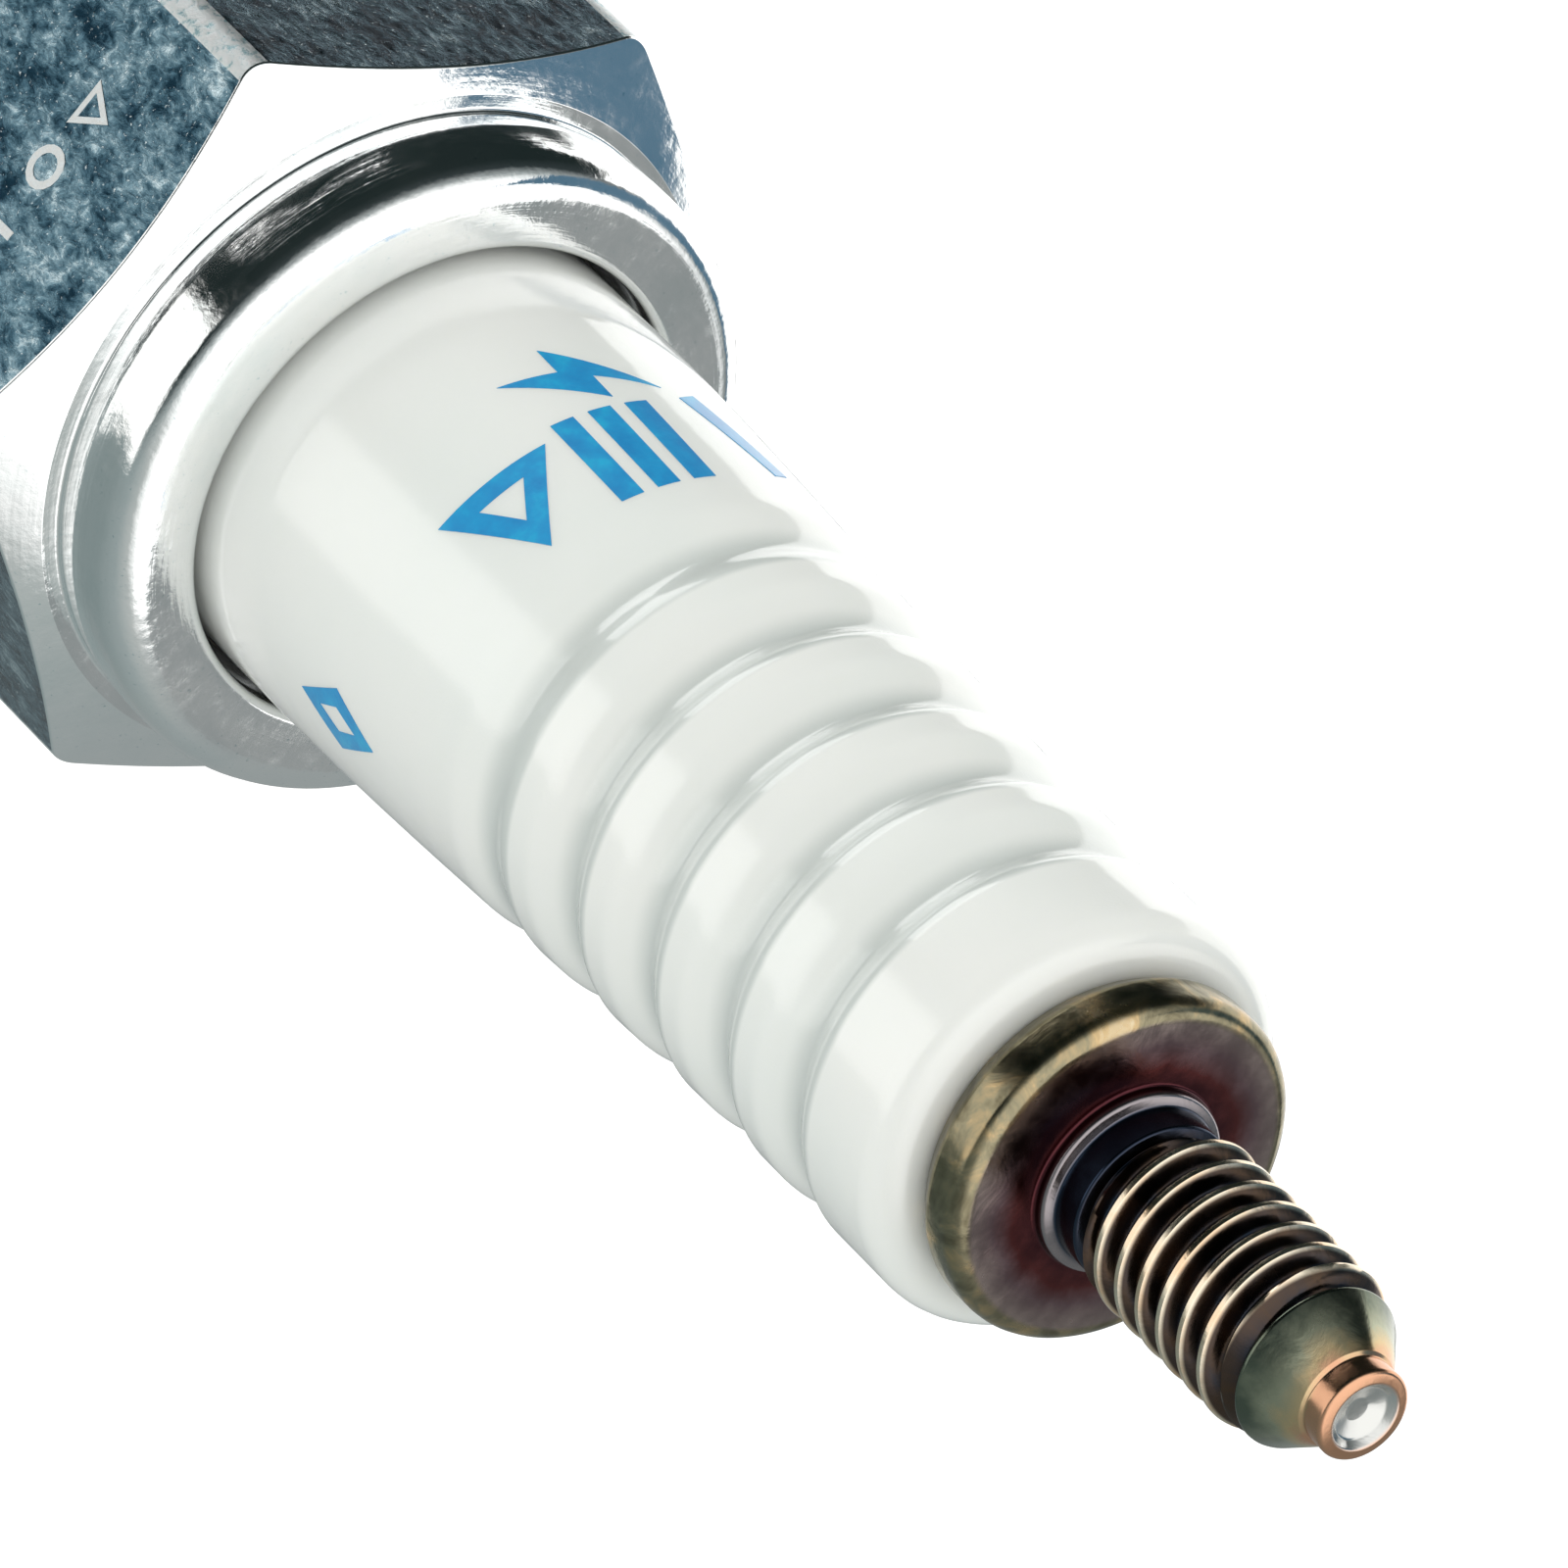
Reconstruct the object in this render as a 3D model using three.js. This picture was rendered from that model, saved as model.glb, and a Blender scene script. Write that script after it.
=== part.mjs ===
// Resistor spark plug with a 10 mm thread, in millimetres.
// The axis is +Z with the terminal at the top, and the origin is the centre of the shell's gasket seat.
import * as THREE from "three";

// ---- Driving dimensions ----

// Facets round the axis. The shell's hexagon needs a multiple of twelve.
const FACETS = 24;

// Metal shell: thread, seat, hexagon and crimped collar
const THREAD = { crest: 4.95, root: 4.4, pitch: 1.0, low: -18.6, high: -1.3 };
const SHELL_END = -19;
const RELIEF_RADIUS = 4.3;
const SEAT_RADIUS = 7.3;
const SEAT_TOP = 3.2;
const WAIST_RADIUS = 6.8;
const HEX_ACROSS_FLATS = 16;
const HEX_LOW = 5.4;
const HEX_HIGH = 13.7;
const HEX_CHAMFER_RADIUS = 7.6;
const HEX_CHAMFER_ANGLE = 30;
const COLLAR_RADIUS = 7.25;
const COLLAR_TOP = 16.15;
const LIP_RADIUS = 5.4;
const SHELL_BORE = 6.05;
const CORE_BORE = 3.65;
const LEDGE_RADIUS = 2.95;
const LEDGE_HEIGHT = -9.5;
const LEDGE_GAP = 0.4;
const POCKET_RADIUS = 3.5;

// Folded crush gasket, trapped between the seat and the first thread. Its inner bend rests on the
// thread's run-out, and its sealing layer below passes outside the crest.
const GASKET = { inner: 4.62, seal: 5.05, outer: 6.95, sheet: 0.3, height: 1.5 };
const GASKET_REST = THREAD.high - 1.0;

// Ceramic insulator
const NOSE_TIP = -20.5;
const NOSE_TIP_RADIUS = 1.85;
const NOSE_ROOT_RADIUS = 2.65;
const CORE_RADIUS = 3.55;
const BODY_RADIUS = 5.95;
const BODY_LOW = 4.5;
const BODY_HIGH = 9.9;
const NECK_RADIUS = 5.2;
const RIB_COUNT = 5;
const RIB_PITCH = 2.57;
const FIRST_GROOVE = 25.8;
const GROOVE_DEPTH = 0.34;
const FIRST_GROOVE_SHARE = 0.6;
const HEAD_RADIUS = 4.57;
const TAPER_TOP = 35;
const INSULATOR_TOP = 39.5;
const UPPER_BORE = 1.55;
const NOSE_BORE = 1.12;
const BORE_STEP = -4;

// Terminal stud: shank, flange and M4 screw
const FLANGE_TOP = 40.9;
const FLANGE_RADIUS = 3.78;
const SHANK_RADIUS = 1.45;
const SHANK_END = 9.2;
const SHOULDER_RADIUS = 2;
const UNDERCUT_RADIUS = 1.75;
const STUD_THREAD = { crest: 1.94, root: 1.53, pitch: 0.7, low: 42.02, high: 47.3 };
const PIP_RADIUS = 0.98;
const TERMINAL_TIP = 49.1;

// Conductor stack inside the insulator, from the shank down to the centre electrode
const RESISTOR_TOP = 6.4;
const LOWER_SEAL_TOP = 0.2;
const ELECTRODE_HEAD_TOP = -2.4;
const ELECTRODE_RADIUS = 1.05;
const ELECTRODE_END = -21;
const COPPER_RADIUS = 0.6;
const COPPER_END = -17.5;

// Spark gap
const CENTRE_TIP = { radius: 0.3, end: -21.6 };
const SPARK_GAP = 0.8;
const GROUND_TIP = { radius: 0.45, height: 0.25 };
const STRAP = { width: 2.2, thickness: 1.0, bend: 1.1, free: -1.0 };

// Wire packing rings and talc round the insulator's neck
const RING_WIRE_RADIUS = 0.38;
const LOWER_RING_HEIGHT = 10.77;
const UPPER_RING_HEIGHT = 14.68;

// Clearance between pieces that are a close fit
const SLIP = 0.03;

// ---- Shape helpers ----

const point = (radius, height) => new THREE.Vector2(radius, height);

// Points of a circular arc in the (radius, height) plane, angles in degrees.
function arc(radius, height, size, from, to, steps = 4) {
  return Array.from({ length: steps + 1 }, (_, i) => {
    const angle = THREE.MathUtils.degToRad(from + ((to - from) * i) / steps);
    return point(radius + size * Math.cos(angle), height + size * Math.sin(angle));
  });
}

// One helical stretch of a 60 degree screw thread as it is cut by the half plane at this angle.
// Every angle gives the same number of points; those past either end gather on the root there.
function threadSection(angle, { crest, root, pitch, low, high }) {
  const form = [
    [0, root],
    [0.25, root],
    [0.5625, crest],
    [0.6875, crest],
  ];
  const turns = Math.ceil((high - low) / pitch) + 1;
  const points = [];
  for (let turn = -1; turn < turns; turn += 1) {
    for (const [share, radius] of form) {
      const raw = low + (turn + share + angle / (2 * Math.PI)) * pitch;
      const height = THREE.MathUtils.clamp(raw, low, high);
      const runOut = root + Math.min(height - low, high - height);
      points.push(point(Math.min(radius, runOut), height));
    }
  }
  return points;
}

// A closed solid whose (radius, height) section changes with the angle. The section either closes
// on itself or starts and ends on the axis, and runs upwards along the outside.
function sweptSection(sectionAt, closed) {
  const columns = Array.from({ length: FACETS + 1 }, (_, i) => sectionAt((2 * Math.PI * i) / FACETS));
  const rows = columns[0].length;
  const positions = [];
  columns.forEach((section, i) => {
    const angle = (2 * Math.PI * (i % FACETS)) / FACETS;
    for (const { x: radius, y: height } of section) {
      positions.push(radius * Math.sin(angle), -radius * Math.cos(angle), height);
    }
  });
  const indices = [];
  for (let i = 0; i < FACETS; i += 1) {
    for (let j = 0; j < (closed ? rows : rows - 1); j += 1) {
      const low = i * rows + j;
      const high = i * rows + ((j + 1) % rows);
      indices.push(low, low + rows, high);
      indices.push(high, low + rows, high + rows);
    }
  }
  const geometry = new THREE.BufferGeometry();
  geometry.setAttribute("position", new THREE.Float32BufferAttribute(positions, 3));
  geometry.setIndex(indices);
  return geometry;
}

// A plain turned solid: the profile runs upwards along the outside, as above.
function turned(profile, closed = false) {
  const outline = closed ? [...profile, profile[0]] : profile;
  return new THREE.LatheGeometry(outline, FACETS).rotateX(Math.PI / 2);
}

const cylinder = (radius, low, high) =>
  turned([point(0, low), point(radius, low), point(radius, high), point(0, high)]);

const ring = (inner, outer, low, high) =>
  turned([point(inner, low), point(outer, low), point(outer, high), point(inner, high)], true);

const wireRing = (radius, height) =>
  turned(arc(radius, height, RING_WIRE_RADIUS, 0, 315, 7), true);

// ---- Sub-parts ----

function hexRadius(angle) {
  const sector = Math.PI / 3;
  const fromFlat = angle - sector * Math.round(angle / sector);
  return HEX_ACROSS_FLATS / 2 / Math.cos(fromFlat);
}

function shell() {
  const slope = Math.tan(THREE.MathUtils.degToRad(HEX_CHAMFER_ANGLE));
  return sweptSection((angle) => {
    const radius = hexRadius(angle);
    const drop = (radius - HEX_CHAMFER_RADIUS) * slope;
    return [
      point(POCKET_RADIUS, SHELL_END),
      point(RELIEF_RADIUS - 0.1, SHELL_END),
      ...threadSection(angle, THREAD),
      point(RELIEF_RADIUS, THREAD.high + 0.15),
      point(RELIEF_RADIUS, -0.3),
      point(RELIEF_RADIUS + 0.3, 0),
      point(SEAT_RADIUS - 0.2, 0),
      point(SEAT_RADIUS, 0.2),
      point(SEAT_RADIUS, SEAT_TOP - 0.3),
      point(WAIST_RADIUS, SEAT_TOP),
      point(WAIST_RADIUS, HEX_LOW - 0.2),
      point(HEX_CHAMFER_RADIUS, HEX_LOW),
      point(radius, HEX_LOW + drop),
      point(radius, HEX_HIGH - drop),
      point(HEX_CHAMFER_RADIUS, HEX_HIGH),
      point(COLLAR_RADIUS - 0.1, HEX_HIGH + 0.3),
      point(COLLAR_RADIUS, HEX_HIGH + 0.8),
      ...arc(COLLAR_RADIUS - 1.2, COLLAR_TOP - 1.2, 1.2, 0, 75),
      point(LIP_RADIUS, COLLAR_TOP),
      point(LIP_RADIUS, COLLAR_TOP - 0.65),
      point(SHELL_BORE, COLLAR_TOP - 1.25),
      point(SHELL_BORE, BODY_LOW - 0.12),
      point(CORE_BORE, BODY_LOW - 2.6),
      point(CORE_BORE, LEDGE_HEIGHT + CORE_BORE - LEDGE_RADIUS),
      point(LEDGE_RADIUS, LEDGE_HEIGHT),
      point(LEDGE_RADIUS, LEDGE_HEIGHT - 1.2),
      point(POCKET_RADIUS, LEDGE_HEIGHT - 1.8),
    ];
  }, true);
}

// Sheet steel folded into three flat layers, with one bend outside and one inside.
function gasket() {
  const { inner, seal, outer, sheet, height } = GASKET;
  const bend = (height + sheet) / 4;
  const tight = bend - sheet;
  const outerBend = outer - bend;
  const innerBend = inner + bend;
  const low = GASKET_REST;
  const top = low + height;
  return turned(
    [
      point(seal, low),
      ...arc(outerBend, low + bend, bend, -90, 90, 6),
      ...arc(innerBend, top - bend, tight, 270, 90, 4),
      point(outerBend + 0.2, top - sheet),
      point(outerBend + 0.2, top),
      ...arc(innerBend, top - bend, bend, 90, 270, 6),
      ...arc(outerBend, low + bend, tight, 90, -90, 4),
      point(seal, low + sheet),
    ],
    true,
  );
}

// Radius of the glazed outside at a height, before the grooves are cut.
function glazedRadius(height) {
  const taper = THREE.MathUtils.smoothstep(height, COLLAR_TOP + 1, TAPER_TOP);
  return THREE.MathUtils.lerp(NECK_RADIUS, HEAD_RADIUS, taper);
}

// The ribs overlap like shingles: each one slopes gently down to a groove, and the next one
// starts with a steep rounded lip. The first groove is shallower.
function ribSection() {
  const form = [
    [-0.5, 0],
    [-0.28, 0.3],
    [-0.1, 0.85],
    [0, 1],
    [0.1, 0.8],
    [0.17, 0.2],
    [0.27, 0],
  ];
  const points = [];
  for (let rib = 0; rib < RIB_COUNT; rib += 1) {
    const deepest = rib === 0 ? GROOVE_DEPTH * FIRST_GROOVE_SHARE : GROOVE_DEPTH;
    for (const [share, depth] of form) {
      const height = FIRST_GROOVE + (rib + share) * RIB_PITCH;
      points.push(point(glazedRadius(height) - depth * deepest, height));
    }
  }
  return points;
}

function insulator() {
  const seatCone = CORE_RADIUS - NOSE_ROOT_RADIUS;
  const seatLow = LEDGE_HEIGHT + LEDGE_GAP + NOSE_ROOT_RADIUS - LEDGE_RADIUS;
  const edge = 0.75;
  return turned(
    [
      point(NOSE_BORE, NOSE_TIP),
      point(NOSE_TIP_RADIUS - 0.25, NOSE_TIP),
      point(NOSE_TIP_RADIUS, NOSE_TIP + 0.25),
      point(NOSE_ROOT_RADIUS, seatLow),
      point(CORE_RADIUS, seatLow + seatCone),
      point(CORE_RADIUS, BODY_LOW - 2.5),
      point(BODY_RADIUS, BODY_LOW),
      point(BODY_RADIUS, BODY_HIGH),
      point(NECK_RADIUS, BODY_HIGH + 0.7),
      point(NECK_RADIUS, COLLAR_TOP + 1),
      point(glazedRadius(20), 20),
      point(glazedRadius(22.5), 22.5),
      ...ribSection(),
      point(HEAD_RADIUS, INSULATOR_TOP - 2),
      ...arc(HEAD_RADIUS - edge, INSULATOR_TOP - edge, edge, 0, 90),
      point(UPPER_BORE + 0.2, INSULATOR_TOP),
      point(UPPER_BORE, INSULATOR_TOP - 0.2),
      point(UPPER_BORE, BORE_STEP),
      point(NOSE_BORE, BORE_STEP - 0.43),
    ],
    true,
  );
}

function terminalStud() {
  const low = INSULATOR_TOP + SLIP;
  const pipLow = TERMINAL_TIP - 0.65;
  return sweptSection(
    (angle) => [
      point(0, SHANK_END),
      point(SHANK_RADIUS - 0.3, SHANK_END),
      point(SHANK_RADIUS, SHANK_END + 0.3),
      point(SHANK_RADIUS, low),
      point(FLANGE_RADIUS - 0.33, low),
      point(FLANGE_RADIUS, low + 0.4),
      point(FLANGE_RADIUS, FLANGE_TOP - 0.4),
      point(FLANGE_RADIUS - 0.12, FLANGE_TOP - 0.12),
      point(FLANGE_RADIUS - 0.4, FLANGE_TOP),
      point(SHOULDER_RADIUS + 0.05, FLANGE_TOP),
      point(SHOULDER_RADIUS, FLANGE_TOP + 0.22),
      point(UNDERCUT_RADIUS, FLANGE_TOP + 0.32),
      point(UNDERCUT_RADIUS, STUD_THREAD.low - 0.15),
      ...threadSection(angle, STUD_THREAD),
      point(STUD_THREAD.root + 0.3, STUD_THREAD.high + 0.05),
      point(PIP_RADIUS + 0.05, pipLow),
      point(PIP_RADIUS, pipLow + 0.1),
      point(PIP_RADIUS, TERMINAL_TIP - 0.15),
      point(PIP_RADIUS - 0.15, TERMINAL_TIP),
      point(PIP_RADIUS - 0.35, TERMINAL_TIP - 0.05),
      point(0, TERMINAL_TIP - 0.25),
    ],
    false,
  );
}

// The nickel sheath is open at its head, where the copper core was pressed in.
function centreElectrode() {
  const head = UPPER_BORE - 0.1;
  const seat = BORE_STEP + SLIP;
  return turned([
    point(0, ELECTRODE_END),
    point(CENTRE_TIP.radius + 0.15, ELECTRODE_END),
    point(ELECTRODE_RADIUS, ELECTRODE_END + 0.9),
    point(ELECTRODE_RADIUS, seat - 0.4),
    point(head, seat),
    point(head, ELECTRODE_HEAD_TOP),
    point(COPPER_RADIUS, ELECTRODE_HEAD_TOP),
    point(COPPER_RADIUS, COPPER_END),
    point(0, COPPER_END - 0.5),
  ]);
}

function copperCore() {
  return turned([
    point(0, COPPER_END - 0.5 + SLIP * 1.5),
    point(COPPER_RADIUS - SLIP, COPPER_END + SLIP),
    point(COPPER_RADIUS - SLIP, ELECTRODE_HEAD_TOP),
    point(0, ELECTRODE_HEAD_TOP),
  ]);
}

// Thin steel cone between the insulator's seat and the ledge inside the shell.
function seatPacking() {
  const low = LEDGE_HEIGHT + SLIP;
  const thickness = LEDGE_GAP - 2 * SLIP;
  const inner = LEDGE_RADIUS + 0.05;
  const outer = CORE_RADIUS - 0.05;
  const rise = outer - LEDGE_RADIUS;
  return turned(
    [
      point(inner, low + 0.05),
      point(outer, low + rise),
      point(outer, low + rise + thickness),
      point(inner, low + 0.05 + thickness),
    ],
    true,
  );
}

// Height of the face that the spark jumps to, and of the strap's inner side.
const sparkFace = CENTRE_TIP.end - SPARK_GAP;
const strapTop = sparkFace - GROUND_TIP.height;

// A flat strap welded to the shell's end face and bent under the centre electrode.
function groundElectrode() {
  const { width, thickness, bend, free } = STRAP;
  const inside = POCKET_RADIUS;
  const outside = inside + thickness;
  const centre = { x: inside - bend, y: strapTop + bend };
  const outline = new THREE.Shape();
  outline.moveTo(inside, SHELL_END);
  outline.lineTo(inside, centre.y);
  outline.absarc(centre.x, centre.y, bend, 0, -Math.PI / 2, true);
  outline.lineTo(free, strapTop);
  outline.lineTo(free, strapTop - thickness);
  outline.lineTo(centre.x, strapTop - thickness);
  outline.absarc(centre.x, centre.y, bend + thickness, -Math.PI / 2, 0, false);
  outline.lineTo(outside, SHELL_END);
  const options = { depth: width, bevelEnabled: false, curveSegments: 10 };
  const geometry = new THREE.ExtrudeGeometry(outline, options);
  return geometry.translate(0, 0, -width / 2).rotateX(Math.PI / 2);
}

// ---- Assembly ----

const sealRadius = UPPER_BORE - SLIP;
const ringRadius = (NECK_RADIUS + SHELL_BORE) / 2;
const talcLow = LOWER_RING_HEIGHT + RING_WIRE_RADIUS + SLIP;
const talcHigh = UPPER_RING_HEIGHT - RING_WIRE_RADIUS - SLIP;

const parts = [
  { name: "shell", shape: shell(), color: 0xc9ced2, roughness: 0.25, metalness: 1 },
  { name: "gasket", shape: gasket(), color: 0xb9bcbd, roughness: 0.4, metalness: 1 },
  { name: "insulator", shape: insulator(), color: 0xf2f4f1, roughness: 0.15, metalness: 0 },
  { name: "terminal_stud", shape: terminalStud(), color: 0x6f6657, roughness: 0.3, metalness: 1 },
  {
    name: "upper_packing_ring",
    shape: wireRing(ringRadius, UPPER_RING_HEIGHT),
    color: 0x8b8f92,
    roughness: 0.45,
    metalness: 1,
  },
  {
    name: "talc_filling",
    shape: ring(NECK_RADIUS + SLIP, SHELL_BORE - SLIP, talcLow, talcHigh),
    color: 0xdcdcd2,
    roughness: 0.95,
    metalness: 0,
  },
  {
    name: "lower_packing_ring",
    shape: wireRing(ringRadius, LOWER_RING_HEIGHT),
    color: 0x8b8f92,
    roughness: 0.45,
    metalness: 1,
  },
  { name: "seat_packing", shape: seatPacking(), color: 0x9a9da0, roughness: 0.5, metalness: 1 },
  {
    name: "upper_glass_seal",
    shape: cylinder(sealRadius, RESISTOR_TOP + SLIP, SHANK_END - SLIP),
    color: 0x6d5a4a,
    roughness: 0.4,
    metalness: 0.3,
  },
  {
    name: "resistor",
    shape: cylinder(sealRadius, LOWER_SEAL_TOP + SLIP, RESISTOR_TOP),
    color: 0x2b2a2a,
    roughness: 0.8,
    metalness: 0,
  },
  {
    name: "lower_glass_seal",
    shape: cylinder(sealRadius, ELECTRODE_HEAD_TOP + SLIP, LOWER_SEAL_TOP),
    color: 0x6d5a4a,
    roughness: 0.4,
    metalness: 0.3,
  },
  {
    name: "centre_electrode",
    shape: centreElectrode(),
    color: 0x9c978c,
    roughness: 0.4,
    metalness: 1,
  },
  { name: "copper_core", shape: copperCore(), color: 0xb87445, roughness: 0.35, metalness: 1 },
  {
    name: "centre_tip",
    shape: cylinder(CENTRE_TIP.radius, CENTRE_TIP.end, ELECTRODE_END),
    color: 0xd5d6d8,
    roughness: 0.3,
    metalness: 1,
  },
  {
    name: "ground_electrode",
    shape: groundElectrode(),
    color: 0x9c978c,
    roughness: 0.4,
    metalness: 1,
  },
  {
    name: "ground_tip",
    shape: cylinder(GROUND_TIP.radius, strapTop, sparkFace),
    color: 0xd5d6d8,
    roughness: 0.3,
    metalness: 1,
  },
];

const sparkPlug = new THREE.Group();
for (const { name, shape, ...look } of parts) {
  const mesh = new THREE.Mesh(shape, new THREE.MeshStandardMaterial(look));
  mesh.name = name;
  sparkPlug.add(mesh);
}

export default sparkPlug;
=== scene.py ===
"""A 10 mm resistor spark plug: fine meshes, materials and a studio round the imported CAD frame.

The axis is +Z with the terminal at the top. Sizes below are in millimetres; Blender's are in metres.
"""

import math

import bmesh
import bpy
import numpy as np
from mathutils import Matrix, Vector


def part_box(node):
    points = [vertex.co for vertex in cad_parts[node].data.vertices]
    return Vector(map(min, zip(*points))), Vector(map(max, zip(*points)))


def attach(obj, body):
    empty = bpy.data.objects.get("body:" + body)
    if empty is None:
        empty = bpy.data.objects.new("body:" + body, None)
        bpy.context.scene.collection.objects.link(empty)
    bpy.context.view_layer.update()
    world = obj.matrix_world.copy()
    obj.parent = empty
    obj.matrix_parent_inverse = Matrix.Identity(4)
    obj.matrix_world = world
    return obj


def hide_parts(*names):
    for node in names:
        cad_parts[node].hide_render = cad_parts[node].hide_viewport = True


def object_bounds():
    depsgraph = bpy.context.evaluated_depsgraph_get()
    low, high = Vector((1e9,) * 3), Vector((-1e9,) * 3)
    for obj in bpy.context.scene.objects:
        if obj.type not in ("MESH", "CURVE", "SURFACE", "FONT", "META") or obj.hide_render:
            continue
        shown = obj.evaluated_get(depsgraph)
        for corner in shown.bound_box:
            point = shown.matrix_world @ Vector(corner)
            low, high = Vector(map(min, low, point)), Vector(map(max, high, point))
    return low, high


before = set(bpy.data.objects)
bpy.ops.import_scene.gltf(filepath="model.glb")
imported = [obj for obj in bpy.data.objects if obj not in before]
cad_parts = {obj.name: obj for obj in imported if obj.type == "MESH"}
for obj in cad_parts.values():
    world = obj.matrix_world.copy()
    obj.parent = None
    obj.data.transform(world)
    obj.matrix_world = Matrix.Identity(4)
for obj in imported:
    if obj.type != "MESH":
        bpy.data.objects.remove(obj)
cad_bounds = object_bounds()

MM = 0.001
TURN = 2 * math.pi


def extent(node):
    """(outer radius, lowest height, highest height) of a round CAD node, in millimetres."""
    low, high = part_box(node)
    return high.y / MM, low.z / MM, high.z / MM


# ---- Sizes ----

# Shell
SHELL_END, COLLAR_TOP = extent("shell")[1:]
THREAD = {"crest": 4.95, "root": 4.4, "pitch": 1.0, "low": -18.6, "high": -1.3}
RELIEF_RADIUS = 4.3
SEAT_RADIUS = 7.3
SEAT_TOP = 3.2
WAIST_RADIUS = 6.8
HALF_FLATS = extent("shell")[0]
HEX_LOW = 5.4
HEX_HIGH = 13.7
HEX_EDGE_FILLET = 0.7
CHAMFER_RADIUS = 7.6
CHAMFER_SLOPE = math.radians(30)
COLLAR_RADIUS = 7.25
LIP_RADIUS = 5.4
SHELL_BORE = 6.05
CORE_BORE = 3.65
LEDGE_RADIUS = 2.95
LEDGE_HEIGHT = -9.5
LEDGE_GAP = 0.4
POCKET_RADIUS = 3.5

# Gasket
GASKET_RADIUS, GASKET_LOW, GASKET_TOP = extent("gasket")
GASKET_INNER = 4.62
GASKET_SEAL = 5.05
GASKET_SHEET = 0.3

# Insulator
BODY_RADIUS, NOSE_TIP, INSULATOR_TOP = extent("insulator")
NOSE_TIP_RADIUS = 1.85
NOSE_ROOT_RADIUS = 2.65
CORE_RADIUS = 3.55
BODY_LOW = 4.5
BODY_HIGH = 9.9
NECK_RADIUS = 5.2
HEAD_RADIUS = 4.57
RIB_COUNT = 5
RIB_PITCH = 2.57
FIRST_GROOVE = 25.8
TAPER_TOP = 35.0
GROOVE_DEPTH = 0.34
FIRST_GROOVE_SHARE = 0.6
UPPER_BORE = 1.55
NOSE_BORE = 1.12
BORE_STEP = -4.0

# Terminal stud
FLANGE_RADIUS, SHANK_END, TERMINAL_TIP = extent("terminal_stud")
FLANGE_TOP = 40.9
SHANK_RADIUS = 1.45
SHOULDER_RADIUS = 2.0
UNDERCUT_RADIUS = 1.75
STUD_THREAD = {"crest": 1.94, "root": 1.53, "pitch": 0.7, "low": 42.02, "high": 47.3}
CONE_LOW = STUD_THREAD["high"]
PIP_RADIUS = 0.98

# Firing end
ELECTRODE_HEAD, ELECTRODE_END, ELECTRODE_TOP = extent("centre_electrode")
ELECTRODE_RADIUS = 1.05
COPPER_RADIUS = 0.6
STRAP_THICKNESS = 1.0
STRAP_BEND = 1.1

# Slack between pieces that are a close fit
SLIP = 0.03

# ---- Mesh helpers ----


def corner_arc(before, corner, after, size, steps):
    """Points of a round of this radius in place of a corner, all in the (radius, height) plane."""
    corner = Vector(corner)
    to_before = Vector(before) - corner
    to_after = Vector(after) - corner
    half = to_before.angle(to_after, math.pi) / 2
    if size <= 0 or half > math.radians(89) or half < math.radians(1):
        return [tuple(corner)] * (steps + 1)
    reach = min(size / math.tan(half), 0.48 * to_before.length, 0.48 * to_after.length)
    start = to_before.normalized() * reach
    end = to_after.normalized() * reach
    centre = (start + end).normalized() * (reach / math.cos(half))
    sweep = math.pi - 2 * half
    turn = math.copysign(1, (start - centre).cross(end - centre))
    return [
        tuple(corner + centre + Matrix.Rotation(turn * sweep * i / steps, 2) @ (start - centre))
        for i in range(steps + 1)
    ]


def rounded(corners, closed, steps=4):
    """An outline whose corners are (radius, height) or, to be rounded, (radius, height, round)."""
    outline = []
    for i, (radius, height, *fillet) in enumerate(corners):
        at_end = not closed and i in (0, len(corners) - 1)
        if fillet and not at_end:
            before = corners[i - 1][:2]
            after = corners[(i + 1) % len(corners)][:2]
            outline += corner_arc(before, (radius, height), after, fillet[0], steps)
        else:
            outline.append((radius, height))
    return outline


def even_angles(count):
    return [TURN * i / count for i in range(count)]


def mesh_object(name, vertices, faces, face_materials, materials, sharp=38):
    """A smooth shaded mesh in the frame, from vertices in millimetres."""
    mesh = bpy.data.meshes.new(name)
    mesh.from_pydata((np.array(vertices) * MM).tolist(), [], faces)
    for material in materials:
        mesh.materials.append(material)
    if face_materials is not None:
        mesh.polygons.foreach_set("material_index", face_materials)
    cleaned = bmesh.new()
    cleaned.from_mesh(mesh)
    bmesh.ops.remove_doubles(cleaned, verts=cleaned.verts, dist=1e-4 * MM)
    bmesh.ops.recalc_face_normals(cleaned, faces=cleaned.faces)
    cleaned.to_mesh(mesh)
    cleaned.free()
    mesh.shade_smooth()
    mesh.set_sharp_from_angle(angle=math.radians(sharp))
    piece = bpy.data.objects.new(name, mesh)
    bpy.context.scene.collection.objects.link(piece)
    weighted = piece.modifiers.new("even_flats", "WEIGHTED_NORMAL")
    weighted.keep_sharp = True
    return piece


def swept(name, section_at, angles, closed, materials, material_of=None):
    """A solid whose (radius, height) section may change with the angle round the axis.

    Angle 0 is the -Y side. The section closes on itself, or starts and ends on the axis. A thread
    moves on by one pitch in a turn, so its last column lands on its first one, a row of turns later."""
    full_turn = [*angles, angles[0] + TURN]
    columns = [section_at(angle) for angle in full_turn]
    rows = len(columns[0])
    vertices = [
        (radius * math.sin(angle), -radius * math.cos(angle), height)
        for angle, section in zip(full_turn, columns)
        for radius, height in section
    ]
    faces = []
    slots = []
    for i in range(len(angles)):
        here, there = i * rows, (i + 1) * rows
        for j in range(rows if closed else rows - 1):
            k = (j + 1) % rows
            faces.append((here + j, there + j, there + k, here + k))
            slots.append(material_of(columns[i][j], columns[i][k]) if material_of else 0)
    return mesh_object(name, vertices, faces, slots, materials)


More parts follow.
